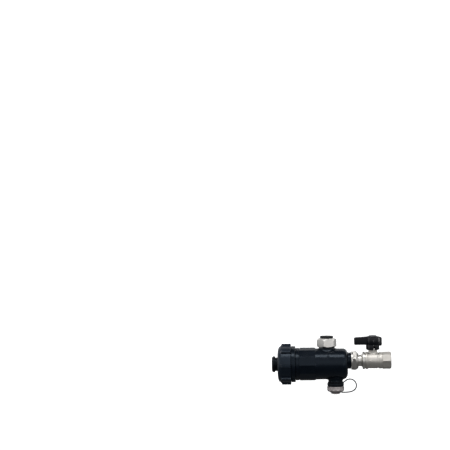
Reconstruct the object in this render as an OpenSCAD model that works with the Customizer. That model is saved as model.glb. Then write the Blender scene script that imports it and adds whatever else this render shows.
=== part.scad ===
// Magnetic system filter for the return pipe of a wall-hung boiler.
// Origin: centre of the sealing face of the boiler gasket. +Z points up into the boiler,
// +X points along the filter towards the ball valve, and -Y is the front.

/* [Filter body] */
// Height of the boiler sealing face above the axis of the filter body
seal_height = 50.5; // [49:0.5:56]
// Outer radius of the round part of the body
body_r = 28.2; // [28:0.1:29]
// Corner radius of the twelve-sided part of the body
grip_body_r = 30; // [29.6:0.1:31]
// Radius of the chamber inside the body
chamber_r = 23.6; // [23.4:0.1:24]
// Radius of the collar behind the ring nut
collar_r = 32.7; // [31:0.1:33.4]

/* [Ring nut and cover] */
// Outer radius of the ring nut, without its lugs
ring_r = 33.5; // [33:0.1:35]
// Radius over the lugs of the ring nut
lug_r = 37.1; // [35:0.1:38]
// Number of lugs around the ring nut
lug_count = 8; // [4:1:12]
// Width of one lug
lug_w = 6; // [4:0.5:8]

/* [Magnet] */
// Number of ring magnets on the rod
magnet_count = 4; // [2:1:6]
// Radius of the ring magnets
magnet_r = 9.6; // [8:0.1:9.8]
// Radius of the head of the pull knob
knob_r = 14.75; // [14:0.25:16]

/* [Unions] */
// Width across the flats of both union nuts
nut_af = 32; // [30:0.5:33]
// Radius of the smooth bore that the union thread is cut in
thread_minor_r = 12.06; // [12.06:0.01:12.2]
// Radius of the flanges and gaskets that the union nuts clamp
flange_r = 11.9; // [11.6:0.05:11.95]
// Turn of the boiler nut from having a corner on the side of the outlet
boiler_nut_turn = 14.6; // [0:0.1:60]

/* [Ball valve] */
// Height of the valve axis above the axis of the filter body
valve_rise = 5.6; // [4:0.1:6]
// Distance of the valve stem from the boiler port
stem_x = 82.9; // [82.9:0.1:82.9]
// Radius of the ball
ball_r = 11.9; // [11.8:0.05:11.95]
// Radius of the bore through the ball
ball_bore_r = 8; // [7:0.1:8]
// Width across the flats of the eight-sided end of the valve
end_af = 29; // [28.6:0.1:30]

/* [Handle] */
// Reach of the lever from the stem towards the body
lever_reach = 33.5; // [28:0.5:36]
// Reach of the lever's tail on the other side of the stem
lever_tail = 16.8; // [14:0.2:20]
// Thickness of the lever blade
lever_w = 9; // [7:0.5:12]

/* [Drain] */
// Distance of the drain from the boiler port
drain_x = 15; // [12:0.5:16]
// Outer radius of the drain cap
cap_r = 15.5; // [15.2:0.1:16]
// Number of flutes around the drain cap
flute_count = 16; // [8:1:24]
// Thickness of the moulded tether strap
strap_d = 2.2; // [1.8:0.1:2.6]

/* [Hidden] */

body_z = -seal_height;
valve_z = body_z + valve_rise;
smooth = 96;
fine = 48;
cut = 1;

// Stations along the body, from the magnet knob to the valve
knob_front = -99.9;
knob_back = -94.4;
ring_front = -87.5;
ring_back = -64.9;
mouth_x = -78;
collar_front = -64.3;
collar_back = -57;
grip_front = -49.6;
grip_back = -21;
body_end = 37.7;
neck_end = 43.5;
spigot_end = 50.5;
tail_flange_x = 52.4;
joint_x = 69.2;
valve_end = 116;

// Stations below and above the body axis
neck_top = body_z + 29.4;
tail_foot = body_z + 24.5;
nut_foot = body_z + 29.5;
nut_top = body_z + 46.7;
drain_neck = body_z - 32;
drain_collar_top = body_z - 34.7;
drain_collar_foot = body_z - 40.2;
nozzle_foot = body_z - 47.5;
cap_top = body_z - 40.9;
cap_foot = body_z - 50.3;
boss_foot = body_z - 54.9;

// Radii that mate with each other
mouth_r = 26;
body_thread_r = 29.15;
ring_bore_r = 29.25;
pocket_r = 12.6;
pocket_bore_r = 10.6;
cover_end = -68;
pocket_end = 18;
outlet_r = 9;
tail_r = 9.2;
tail_bore_r = 7.5;
valve_pipe_r = 10.6;
cavity_r = 12.3;
stem_r = 4;
nozzle_r = 13;
boss_r = 8.6;
strainer_r = 23.2;

// Route of the tether strap: x, then height above the body axis, from the neck to the cap
strap_route = [[29.1, -34], [31.2, -32.4], [33.6, -30.5], [36.4, -28.9], [39.8, -28.1],
               [43.4, -28.3], [46.7, -29.6], [49.5, -31.8], [51.5, -34.8], [52.5, -38.4],
               [52.2, -42.2], [50.6, -45.6], [47.8, -48.3], [44.2, -50.1], [40.2, -51.1],
               [36, -51.6], [31.6, -51.8], [27.2, -51.8]];

// ---- Shapes that repeat ----

// Turns an outline of [x, radius] points about a horizontal axis at height z
module turned_x(outline, z) {
    translate([0, 0, z])
        rotate([0, 90, 0])
            rotate_extrude($fn = smooth)
                polygon([for (p = outline) [p[1], p[0]]]);
}

// Turns an outline of [z, radius] points about a vertical axis at x
module turned_z(outline, x = 0) {
    translate([x, 0, 0])
        rotate_extrude($fn = smooth)
            polygon([for (p = outline) [p[1], p[0]]]);
}

module bar_x(from, to, r, z, sides = smooth) {
    translate([from, 0, z])
        rotate([0, 90, 0])
            cylinder(r = r, h = to - from, $fn = sides);
}

module bar_z(from, to, r, x = 0, sides = smooth) {
    translate([x, 0, from])
        cylinder(r = r, h = to - from, $fn = sides);
}

module tube_x(from, to, outer, inner, z) {
    difference() {
        bar_x(from, to, outer, z);
        bar_x(from - cut, to + cut, inner, z);
    }
}

module tube_z(from, to, outer, inner, x = 0) {
    difference() {
        bar_z(from, to, outer, x);
        bar_z(from - cut, to + cut, inner, x);
    }
}

module oring_x(x, middle_r, wire_r, z) {
    translate([x, 0, z])
        rotate([0, 90, 0])
            oring(middle_r, wire_r);
}

module oring_z(z, middle_r, wire_r, x = 0) {
    translate([x, 0, z])
        oring(middle_r, wire_r);
}

module oring(middle_r, wire_r) {
    rotate_extrude($fn = smooth)
        translate([middle_r, 0])
            circle(r = wire_r, $fn = 24);
}

// A polygonal bar along x whose corners are trimmed by a turned outline
module faceted_x(outline, corner_r, sides, turn, z) {
    first = outline[0][0];
    last = outline[len(outline) - 1][0];
    intersection() {
        translate([first, 0, z])
            rotate([0, 90, 0])
                rotate([0, 0, turn])
                    cylinder(r = corner_r, h = last - first, $fn = sides);
        turned_x(concat([[first, 0]], outline, [[last, 0]]), z);
    }
}

// The same about a vertical axis
module faceted_z(outline, corner_r, sides, turn, x = 0) {
    first = outline[0][0];
    last = outline[len(outline) - 1][0];
    intersection() {
        translate([x, 0, first])
            rotate([0, 0, turn])
                cylinder(r = corner_r, h = last - first, $fn = sides);
        turned_z(concat([[first, 0]], outline, [[last, 0]]), x);
    }
}

// ---- Filter body ----

function body_outline() = concat(
    [[mouth_x, 0], [mouth_x, body_thread_r - 1], [mouth_x + 1, body_thread_r],
     [collar_front, body_thread_r], [collar_front, collar_r - 0.8],
     [collar_front + 0.8, collar_r], [collar_back - 1.2, collar_r],
     [collar_back, collar_r - 1.6], [collar_back, 28.6], [-56.2, 28.6],
     [-56.2, 29], [-55.8, 29.4], [-51, 29.4], [-50.5, 28.9], [-50.5, 28], [grip_front, 28],
     [grip_front, body_r], [-18, body_r], [29.7, body_r - 0.5]],
    [for (i = [1:9]) let (a = 10 * i)
        [29.7 + (body_end - 29.7) * sin(a), 17.2 + (body_r - 0.5 - 17.2) * cos(a)]],
    [[body_end, 0]]);

module body_arrow() {
    intersection() {
        tube_x(-8, 14, body_r + 0.55, body_r - 1.5, body_z);
        translate([2.3, 0, body_z + 16])
            rotate([90, 0, 0])
                linear_extrude(40)
                    polygon([[-1.2, 3], [1.2, 3], [1.2, -0.4], [3, -0.4], [0, -3.6],
                             [-3, -0.4], [-1.2, -0.4]]);
    }
}

// Small eye on the collar for a sealing wire
module seal_eye() {
    translate([-61, 0, body_z])
        rotate([144, 0, 0])
            translate([0, 0, 27])
                cylinder(r = 2.9, h = 7.4, $fn = fine);
}

module housing() {
    color("#23262d") {
        difference() {
            union() {
                turned_x(body_outline(), body_z);
                bar_x(grip_front, grip_back, grip_body_r, body_z, 12);
                turned_z([[body_z + 10, 0], [body_z + 10, 18.5], [body_z + 24.6, 18.5],
                          [body_z + 28, 13.9], [neck_top - 0.3, 13.7],
                          [neck_top, 13.4], [neck_top, 0]]);
                turned_z([[body_z - 10, 0], [body_z - 10, 17.5], [body_z - 25.4, 17.5],
                          [body_z - 29.4, 13.2], [drain_neck, 12.9], [drain_neck, 0]], drain_x);
                turned_x([[30, 0], [30, 14.6], [neck_end - 2.4, 14.6], [neck_end - 1.8, 15.1],
                          [neck_end, 15.1], [neck_end, thread_minor_r - 0.11],
                          [spigot_end, thread_minor_r - 0.11], [spigot_end, 0]], valve_z);
                body_arrow();
                seal_eye();
            }
            bar_x(mouth_x - cut, -66.5, mouth_r, body_z);
            bar_x(-67, 26, chamber_r, body_z);
            bar_x(25.5, 31.5, 20, body_z);
            bar_x(31, spigot_end + cut, outlet_r, valve_z);
            bar_z(body_z + 15, tail_foot + 0.5, tail_bore_r);
            bar_z(tail_foot, neck_top + cut, tail_r + 0.05);
            bar_z(body_z - 26, body_z - 15, 7, drain_x);
            bar_z(drain_neck - cut, body_z - 25, 11, drain_x);
            translate([-61, 0, body_z])
                rotate([144, 0, 0])
                    translate([0, 0, 31.9])
                        cylinder(r = 1.2, h = 4, $fn = fine);
        }
    }
}

// ---- Ring nut, cover and strainer ----

module ring_lugs() {
    lug_front = -82.5;
    for (i = [0:lug_count - 1])
        translate([0, 0, body_z])
            rotate([i * 360 / lug_count, 0, 0])
                translate([0, lug_w / 2, 0])
                    rotate([90, 0, 0])
                        linear_extrude(lug_w)
                            polygon([[lug_front - 0.8, ring_r - 1.5], [lug_front, lug_r - 0.5],
                                     [lug_front + 0.8, lug_r], [ring_back, lug_r],
                                     [ring_back, ring_r - 1.5]]);
}

module ring_nut() {
    color("#2a2d35") {
        difference() {
            union() {
                turned_x(concat([[ring_front, 0]],
                                [for (i = [0:6]) let (a = 15 * i)
                                    [ring_front + 3.2 * (1 - cos(a)), ring_r - 2.6 + 2.6 * sin(a)]],
                                [[ring_back - 0.5, ring_r], [ring_back, ring_r - 0.5],
                                 [ring_back, 0]]), body_z);
                ring_lugs();
            }
            bar_x(ring_front - cut, ring_back, 22, body_z);
            bar_x(-84.3, ring_back + cut, ring_bore_r, body_z);
        }
    }
}

module cover() {
    color("#30333b") {
        difference() {
            turned_x([[-87.2, 0], [-87.2, 21.3], [-86.7, 21.8], [-84.2, 21.8], [-84.2, 28.8],
                      [-78.1, 28.8], [-78.1, 25.9], [-75.2, 25.9], [-75.2, 22.9],
                      [-71.9, 22.9], [-71.9, 25.9], [cover_end, 25.9], [cover_end, 21],
                      [-79.5, 21], [-79.5, 14.6], [-66.5, pocket_r],
                      [pocket_end - 3, pocket_r], [pocket_end, pocket_r - 3],
                      [pocket_end, 0]], body_z);
            bar_x(-87.2 - cut, -80, pocket_r, body_z);
            bar_x(-80.5, pocket_end - 3, pocket_bore_r, body_z);
        }
    }
}

module cover_oring() {
    color("#101010") oring_x(-73.55, 24.44, 1.5, body_z);
}

module strainer_frame() {
    color("#3a3d44") {
        tube_x(cover_end, -62, strainer_r, 21, body_z);
        difference() {
            union() {
                bar_x(20, 23, strainer_r, body_z);
                turned_x([[22, 0], [22, 19.8], [26.8, 19.8], [26.8, 18.6], [28.9, 18.6],
                          [28.9, 19.8], [30.8, 19.8], [31.2, 19.4], [31.2, 0]], body_z);
            }
            bar_x(19, 32, 17, body_z);
        }
        for (a = [45:90:315])
            translate([0, 0, body_z])
                rotate([a, 0, 0])
                    translate([-62.5, -2, 21])
                        cube([83, 4, strainer_r - 21.2]);
    }
}

module strainer_mesh() {
    color("#b9bcc0") tube_x(-64, 20, 20.95, 20.6, body_z);
}

module strainer_seal() {
    color("#101010") oring_x(27.85, 19.3, 0.66, body_z);
}

// ---- Magnet cartridge ----

magnets_from = -62;
magnet_len = 14.5;
disc_len = 2.8;
step_len = magnet_len + disc_len;
magnets_to = magnets_from + magnet_count * step_len + disc_len;

module magnet_knob() {
    color("#15161a") {
        difference() {
            union() {
                turned_x(concat([[knob_front, 0]],
                                [for (i = [0:6]) let (a = 15 * i)
                                    [knob_front + 4 * (1 - cos(a)), knob_r - 4 + 4 * sin(a)]],
                                [[knob_back - 0.4, knob_r], [knob_back, knob_r - 0.4],
                                 [knob_back, 12.3], [-84.9, 12.3], [-84.9, 11.2],
                                 [-82.9, 11.2], [-82.9, 12.3], [-80.3, 12.3], [-80.3, 8],
                                 [magnets_from, 8], [magnets_from, 0]]), body_z);
            }
            bar_x(-84, magnets_from + cut, 2.5, body_z);
            bar_x(knob_front - cut, knob_front + 1.2, 8.5, body_z);
        }
    }
}

module knob_oring() {
    color("#0c0c0c") oring_x(-83.9, 12.0, 0.55, body_z);
}

module magnet_rod() {
    color("#c9ccd0") bar_x(-84, magnets_to + 4.2, 2.5, body_z, fine);
}

module ring_magnets() {
    color("#9aa0a8")
        for (i = [0:magnet_count - 1])
            tube_x(magnets_from + disc_len + i * step_len,
                   magnets_from + (i + 1) * step_len, magnet_r, 2.5, body_z);
}

module pole_discs() {
    color("#7d828a")
        for (i = [0:magnet_count])
            tube_x(magnets_from + i * step_len,
                   magnets_from + i * step_len + disc_len, magnet_r + 0.2, 2.5, body_z);
}

module rod_nut() {
    color("#c9ccd0") {
        difference() {
            bar_x(magnets_to, magnets_to + 3.6, 4.6, body_z, 6);
            bar_x(magnets_to - cut, magnets_to + 5, 2.5, body_z, fine);
        }
    }
}

// ---- Boiler union ----

module boiler_tail() {
    color("#1b1c20") {
        difference() {
            turned_z([[tail_foot, 0], [tail_foot, tail_r], [body_z + 26.4, tail_r],
                      [body_z + 26.4, tail_r - 1.2], [body_z + 28.3, tail_r - 1.2],
                      [body_z + 28.3, tail_r], [body_z + 46, tail_r], [body_z + 46, flange_r],
                      [body_z + 48.4, flange_r], [body_z + 48.4, 0]]);
            bar_z(tail_foot - cut, body_z + 48.4 + cut, tail_bore_r - 0.6);
        }
    }
}

module boiler_tail_oring() {
    color("#0c0c0c") oring_z(body_z + 27.35, 8.6, 0.6);
}

module boiler_gasket() {
    color("#101114") tube_z(body_z + 48.4, 0, flange_r, 8);
}

// Turned envelope of a boiler nut: a short chamfer at the foot and a rounded shoulder on top
function boiler_nut_outline() = concat(
    [[nut_foot, 14.4], [nut_foot + 2.9, 18.5], [nut_top - 6, 18.5]],
    [for (i = [1:6]) let (a = 15 * i)
        [nut_top - 6 + 6 * sin(a), 13.2 + 5.3 * cos(a)]]);

module boiler_nut() {
    color("#c4c4c0") {
        difference() {
            faceted_z(boiler_nut_outline(), nut_af / 2 / cos(30), 6, boiler_nut_turn);
            bar_z(nut_foot - cut, nut_top, tail_r + 0.1);
            bar_z(nut_foot + 2.5, nut_top + cut, thread_minor_r);
        }
    }
}

module boiler_slip_ring() {
    color("#b08d57") tube_z(nut_foot + 2.6, nut_foot + 3.6, flange_r - 0.1, tail_r + 0.2);
}

// ---- Valve union ----

module valve_nut() {
    nut_front = neck_end + 0.4;
    nut_back = 56.8;
    color("#c8c5bf") {
        difference() {
            union() {
                turned_x([[nut_front, 0], [nut_front, 16.2], [nut_front + 0.5, 16.7],
                          [46.4, 16.7], [46.9, 16.2], [46.9, 0]], valve_z);
                faceted_x([[46.2, 16.6], [47.2, 18.5], [50.2, 18.5], [nut_back, 13.6]],
                          nut_af / 2 / cos(30), 6, 8, valve_z);
            }
            bar_x(nut_front - cut, nut_back - 1.5, thread_minor_r, valve_z);
            bar_x(nut_front, nut_back + cut, valve_pipe_r + 0.1, valve_z);
        }
    }
}

module valve_slip_ring() {
    color("#b08d57") tube_x(54.5, 55.2, flange_r, valve_pipe_r + 0.1, valve_z);
}

module outlet_gasket() {
    color("#101114") tube_x(spigot_end, tail_flange_x, flange_r, 8.6, valve_z);
}

module valve_tail() {
    color("#cfccc6") {
        difference() {
            turned_x([[tail_flange_x, 0], [tail_flange_x, flange_r], [54.4, flange_r],
                      [54.4, valve_pipe_r], [61.9, valve_pipe_r], [62.5, 10.9],
                      [63.3, 11.9], [63.9, 13.6], [64.2, 15.8], [64.7, 16.2],
                      [joint_x - 0.5, 16.2], [joint_x, 15.7], [joint_x, 12.2], [71.5, 12.2],
                      [71.5, 0]], valve_z);
            bar_x(tail_flange_x - cut, 71.5 + cut, ball_bore_r + 0.2, valve_z);
            tube_x(joint_x + 0.1, 70.9, 13, 11.2, valve_z);
        }
    }
}

module valve_tail_oring() {
    color("#0c0c0c") oring_x(70.05, 11.75, 0.5, valve_z);
}

// ---- Ball valve ----

module at_stem() {
    translate([stem_x, 0, valve_z])
        children();
}

module valve_body_outer() {
    turned_x([[joint_x, 0], [joint_x, 15.2], [joint_x + 0.5, 15.7], [73.2, 15.7],
              [74.2, 14.6], [90.6, 14.6], [91.6, 13.9], [93, 13.9], [94, 14.7],
              [94.5, 15], [99.8, 15], [100.3, 14.6], [101.5, 14.4], [101.5, 0]], valve_z);
    faceted_x([[100.2, 14.6], [101, 15.7], [valve_end - 2.2, 15.7], [valve_end, 14.1]],
              end_af / 2 / cos(22.5), 8, 0, valve_z);
    at_stem()
        bar_z(5, 18.5, 8.1);
}

// Raised arrow on both sides of the valve, pointing the way the water flows
module valve_arrows() {
    intersection() {
        tube_x(73, 92, 15.2, 13.5, valve_z);
        translate([stem_x - 1, 30, valve_z])
            rotate([90, 0, 0])
                linear_extrude(60)
                    polygon([[6, 1.1], [-0.5, 1.1], [-0.5, 3.4], [-6, 0], [-0.5, -3.4],
                             [-0.5, -1.1], [6, -1.1]]);
    }
}

module valve_body() {
    color("#cdc9c2") {
        difference() {
            union() {
                valve_body_outer();
                valve_arrows();
            }
            bar_x(joint_x - cut, 94.3, cavity_r, valve_z);
            bar_x(94, 102, ball_bore_r + 0.2, valve_z);
            bar_x(101, valve_end + cut, thread_minor_r, valve_z);
            at_stem() {
                bar_z(8, 14, 5.5);
                bar_z(13, 17, stem_r + 0.05);
                bar_z(15.8, 19, 6.3);
            }
        }
    }
}

module valve_seat(from, to) {
    color("#efece4") {
        difference() {
            tube_x(from, to, cavity_r - 0.1, ball_bore_r + 0.2, valve_z);
            at_stem()
                sphere(r = ball_r + 0.05, $fn = smooth);
        }
    }
}

module seat_left() {
    valve_seat(stem_x - 11.3, stem_x - 6.4);
}

module seat_right() {
    valve_seat(stem_x + 6.4, stem_x + 11.3);
}

module ball() {
    color("#dfe1e3") {
        difference() {
            at_stem()
                sphere(r = ball_r, $fn = smooth);
            bar_x(stem_x - 15, stem_x + 15, ball_bore_r, valve_z);
            at_stem()
                translate([-15, -2.05, 9.2])
                    cube([30, 4.1, 5]);
        }
    }
}

module stem() {
    color("#c9b27a") {
        at_stem() {
            difference() {
                union() {
                    intersection() {
                        translate([-4, -1.95, 9.3])
                            cube([8, 3.9, 3]);
                        bar_z(9, 13, 5);
                    }
                    bar_z(12, 13.9, 5.4);
                    bar_z(13.5, 25.5, stem_r);
                    intersection() {
                        translate([-2.8, -2.8, 25])
                            cube([5.6, 5.6, 10.8]);
                        bar_z(25, 36, 3.7, 0, fine);
                    }
                }
                bar_z(28, 37, 1.7, 0, fine);
            }
        }
    }
}

module stem_packing() {
    color("#efece4") at_stem() tube_z(15.8, 17.2, 6.25, stem_r + 0.05);
}

module gland_nut() {
    color("#c9b27a") {
        at_stem() {
            difference() {
                union() {
                    bar_z(17.2, 19.2, 6.25);
                    bar_z(18.8, 22, 6.9, 0, 6);
                }
                bar_z(17, 23, stem_r + 0.08);
            }
        }
    }
}

// ---- Handle ----

module lever_blade() {
    translate([0, lever_w / 2, 0])
        rotate([90, 0, 0])
            linear_extrude(lever_w)
                polygon([[-lever_reach, 28.6], [-lever_reach + 0.6, 28.1], [12, 28],
                         [12, 26.2], [lever_tail - 1.2, 26.2], [lever_tail - 0.4, 27],
                         [lever_tail, 38], [lever_tail, 41], [lever_tail - 1.2, 42.3],
                         [7, 44.2], [-7, 44.2], [-lever_reach + 3.2, 42],
                         [-lever_reach + 2.3, 41.2]]);
}

module handle() {
    color("#0e0f12") {
        at_stem() {
            difference() {
                union() {
                    turned_z([[19, 0], [19, 10.8], [20.6, 12.2], [28.4, 12.2], [29.4, 11.4],
                              [41, 11.2], [43.4, 10], [44.2, 8.4], [44.2, 0]]);
                    lever_blade();
                }
                bar_z(18, 25.6, 9.6);
                translate([1.3, -20, 18])
                    cube([4, 12, 7.2]);
                translate([-2.85, -2.85, 25])
                    cube([5.7, 5.7, 10.9]);
                bar_z(35, 39, 2.1, 0, fine);
                bar_z(38.4, 42.4, 5);
                bar_z(42.2, 45, 7.5);
            }
        }
    }
}

module handle_screw() {
    color("#c9ccd0") {
        at_stem() {
            difference() {
                union() {
                    bar_z(29, 38.6, 1.65, 0, fine);
                    bar_z(38.4, 40.8, 3.8);
                }
                bar_z(39.4, 42, 1.9, 0, 6);
            }
        }
    }
}

module handle_cap() {
    color("#50535a") {
        at_stem()
            turned_z([[41, 0], [41, 4.9], [42.4, 4.9], [42.4, 7.3], [44.6, 7.3],
                      [45.2, 6.6], [45.6, 4.5], [45.7, 0]]);
    }
}

// ---- Drain ----

module drain_body() {
    seat_z = body_z - 28;
    color("#16171b") {
        difference() {
            turned_z([[body_z - 25, 0], [body_z - 25, 10.9], [body_z - 27.6, 10.9],
                      [body_z - 27.6, 9.8], [body_z - 29.4, 9.8], [body_z - 29.4, 10.9],
                      [drain_neck, 10.9], [drain_neck, 12.9], [drain_neck - 0.4, 12.9],
                      [drain_neck - 0.4, 11.6], [drain_collar_top, 11.6],
                      [drain_collar_top, 14.5], [drain_collar_top - 0.6, 15.1],
                      [drain_collar_foot + 1.2, 15.1], [drain_collar_foot, 14.2],
                      [drain_collar_foot, nozzle_r], [nozzle_foot + 1, nozzle_r],
                      [nozzle_foot, nozzle_r - 1], [nozzle_foot, 0]], drain_x);
            bar_z(seat_z - cut, body_z - 20, 6, drain_x);
            bar_z(nozzle_foot - cut, seat_z, 9, drain_x);
        }
    }
}

module drain_body_oring() {
    color("#0c0c0c") oring_z(body_z - 28.5, 10.4, 0.58, drain_x);
}

module drain_spindle() {
    color("#c9b27a") {
        difference() {
            bar_z(body_z - 43.5, body_z - 30.1, 8.93, drain_x);
            for (a = [0:90:270])
                translate([drain_x, 0, 0])
                    rotate([0, 0, a])
                        translate([7.2, -3, body_z - 50])
                            cube([6, 6, 25]);
            bar_z(body_z - 44, body_z - 37, 5, drain_x, 6);
        }
    }
}

module drain_seal() {
    color("#0c0c0c") tube_z(body_z - 30, body_z - 28.02, 8.3, 2, drain_x);
}

module drain_cap() {
    color("#b5adaa") {
        difference() {
            turned_z(concat([[boss_foot, 0], [boss_foot, 4.2]],
                            [for (i = [1:5]) let (a = 18 * i)
                                [boss_foot + 1.6 * (1 - cos(a)), 4.2 + 1.8 * sin(a)]],
                            [[body_z - 52.6, boss_r], [cap_foot - 0.3, boss_r],
                             [cap_foot, boss_r + 0.4], [cap_foot, 11.4]],
                            [for (i = [1:6]) let (a = 15 * i)
                                [cap_foot + 4.6 * (1 - cos(a)), 11.4 + 4.1 * sin(a)]],
                            [[cap_top - 0.5, cap_r], [cap_top, cap_r - 0.5], [cap_top, 0]]),
                     drain_x);
            bar_z(body_z - 49.2, cap_top + cut, nozzle_r + 0.08, drain_x);
            for (i = [0:flute_count - 1])
                translate([drain_x, 0, 0])
                    rotate([0, 0, (i + 0.5) * 360 / flute_count])
                        bar_z(cap_foot + 3.4, cap_top - 1.6, 1.2, cap_r + 0.75, 24);
        }
    }
}

module drain_cap_seal() {
    color("#0c0c0c") tube_z(body_z - 49.2, body_z - 47.6, 12.8, 8.8, drain_x);
}

// ---- Tether ----

module tether_top_ring() {
    color("#15161a") tube_z(drain_collar_top + 0.1, drain_neck - 0.5, 14.3, 11.7, drain_x);
}

module tether_cap_ring() {
    color("#15161a") tube_z(body_z - 52.5, body_z - 50.7, 11.6, boss_r + 0.15, drain_x);
}

// A round strap of eight sides that follows a route of [x, height] points
module strap(route, d) {
    sides = 8;
    last = len(route) - 1;
    function along(i) = route[min(i + 1, last)] - route[max(i - 1, 0)];
    function across(i) = [-along(i)[1], along(i)[0]] / norm(along(i));
    ring_points = [for (i = [0:last]) for (j = [0:sides - 1])
        let (a = 360 * j / sides, out = d / 2 * cos(a))
            [route[i][0] + out * across(i)[0], d / 2 * sin(a), route[i][1] + out * across(i)[1]]];
    side_faces = [for (i = [0:last - 1]) for (j = [0:sides - 1])
        let (k = (j + 1) % sides)
            [i * sides + j, i * sides + k, (i + 1) * sides + k, (i + 1) * sides + j]];
    first_face = [for (j = [sides - 1:-1:0]) j];
    last_face = [for (j = [0:sides - 1]) last * sides + j];
    polyhedron(points = ring_points, faces = concat([first_face], side_faces, [last_face]),
               convexity = 4);
}

module tether_strap() {
    color("#15161a") {
        translate([0, 0, body_z])
            strap(strap_route, strap_d);
    }
}

housing();
ring_nut();
cover();
cover_oring();
strainer_frame();
strainer_mesh();
strainer_seal();
magnet_knob();
knob_oring();
magnet_rod();
ring_magnets();
pole_discs();
rod_nut();
boiler_tail();
boiler_tail_oring();
boiler_gasket();
boiler_nut();
boiler_slip_ring();
valve_nut();
valve_slip_ring();
outlet_gasket();
valve_tail();
valve_tail_oring();
valve_body();
seat_left();
seat_right();
ball();
stem();
stem_packing();
gland_nut();
handle();
handle_screw();
handle_cap();
drain_body();
drain_body_oring();
drain_spindle();
drain_seal();
drain_cap();
drain_cap_seal();
tether_top_ring();
tether_cap_ring();
tether_strap();
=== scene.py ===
"""Visual model of a magnetic system filter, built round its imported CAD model.

Lengths are in millimetres until a mesh is made, and angles in degrees. An outline is a list of
(station, radius) points: the place along an axis and the distance from it. Angles round an axis
along x start at the top and run over the front; round a vertical axis they start at +X and run
over the front.
"""
import math

import bmesh
import bpy
from mathutils import Matrix, Vector


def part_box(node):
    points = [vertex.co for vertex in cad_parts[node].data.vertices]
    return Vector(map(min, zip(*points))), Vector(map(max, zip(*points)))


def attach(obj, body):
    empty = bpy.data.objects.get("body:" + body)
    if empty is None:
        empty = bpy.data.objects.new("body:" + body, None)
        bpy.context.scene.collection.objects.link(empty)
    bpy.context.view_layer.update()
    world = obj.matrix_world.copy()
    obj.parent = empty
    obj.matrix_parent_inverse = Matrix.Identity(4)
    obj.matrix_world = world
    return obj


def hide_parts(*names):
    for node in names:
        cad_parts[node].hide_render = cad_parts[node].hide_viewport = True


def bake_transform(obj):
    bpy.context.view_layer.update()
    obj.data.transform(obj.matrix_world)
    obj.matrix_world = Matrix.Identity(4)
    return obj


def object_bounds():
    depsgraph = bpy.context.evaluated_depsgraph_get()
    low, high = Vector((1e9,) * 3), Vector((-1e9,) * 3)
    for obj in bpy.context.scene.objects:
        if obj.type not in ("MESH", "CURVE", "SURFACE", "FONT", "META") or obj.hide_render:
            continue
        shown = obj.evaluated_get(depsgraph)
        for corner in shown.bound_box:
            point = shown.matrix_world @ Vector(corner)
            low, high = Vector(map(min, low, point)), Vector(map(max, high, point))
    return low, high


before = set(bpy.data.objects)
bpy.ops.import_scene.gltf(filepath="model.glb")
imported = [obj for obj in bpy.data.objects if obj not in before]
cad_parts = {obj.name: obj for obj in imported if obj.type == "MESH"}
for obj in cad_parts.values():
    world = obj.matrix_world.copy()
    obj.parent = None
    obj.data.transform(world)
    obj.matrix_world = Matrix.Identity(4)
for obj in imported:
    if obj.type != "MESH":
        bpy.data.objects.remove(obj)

CAD_BOX = [list(corner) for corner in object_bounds()]
MM = 0.001


# ---------------------------------------------------------------- places taken from the frame

def low(node, axis):
    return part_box(node)[0][axis] / MM


def high(node, axis):
    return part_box(node)[1][axis] / MM


def middle(node, axis):
    return (low(node, axis) + high(node, axis)) / 2


BODY_Z = middle("ring_nut", 2)
VALVE_Z = middle("valve_tail", 2)
STEM_X = middle("gland_nut", 0)
DRAIN_X = middle("drain_body", 0)


# ---------------------------------------------------------------- outlines

def arc(centre, radii, start, end, steps):
    """Points of an elliptic arc: station and radius are centre + radii * (cos, sin)."""
    points = []
    for i in range(steps + 1):
        a = math.radians(start + (end - start) * i / steps)
        points.append((centre[0] + radii[0] * math.cos(a), centre[1] + radii[1] * math.sin(a)))
    return points


def rounded(corners, loop=False):
    """An outline from (station, radius[, rounding]) corners, each rounded by its rounding.

    The first and last corners stay sharp unless the outline is a loop.
    """
    steps = 4
    count = len(corners)
    outline = []
    for i, corner in enumerate(corners):
        here = Vector(corner[:2])
        size = corner[2] if len(corner) > 2 else 0
        inner = loop or 0 < i < count - 1
        if not size or not inner:
            outline.append(tuple(here))
            continue
        back = Vector(corners[i - 1][:2]) - here
        ahead = Vector(corners[(i + 1) % count][:2]) - here
        reach = size / math.tan(back.angle(ahead) / 2)
        start = here + back.normalized() * min(reach, back.length * 0.48)
        end = here + ahead.normalized() * min(reach, ahead.length * 0.48)
        for k in range(steps + 1):
            t = k / steps
            point = start * (1 - t) ** 2 + here * 2 * t * (1 - t) + end * t ** 2
            outline.append(tuple(point))
    return outline


def dense(outline, step):
    """The outline with points at most step apart."""
    points = [outline[0]]
    for a, b in zip(outline, outline[1:]):
        count = max(1, math.ceil(math.dist(a, b) / step))
        for k in range(1, count + 1):
            t = k / count
            points.append((a[0] + (b[0] - a[0]) * t, a[1] + (b[1] - a[1]) * t))
    return points


def even_angles(count):
    return [360 * i / count for i in range(count)]


def corner_angles(sides, turn, per_side):
    """Angles with extra ones close to the corners of a regular polygon."""
    spread = 2.4
    close = (-spread, -1.6, -1, -0.5, 0, 0.5, 1, 1.6, spread)
    step = 360 / sides
    angles = []
    for i in range(sides):
        corner = turn + i * step
        angles += [corner + d for d in close]
        angles += [corner + spread + (step - 2 * spread) * k / per_side for k in range(1, per_side)]
    return sorted(a % 360 for a in angles)


def least(*sizes, sharpness):
    """The least of some lengths, blended where two of them are nearly the same."""
    floor = min(sizes)
    return floor * sum((floor / s) ** sharpness for s in sizes) ** (-1 / sharpness)


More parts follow.
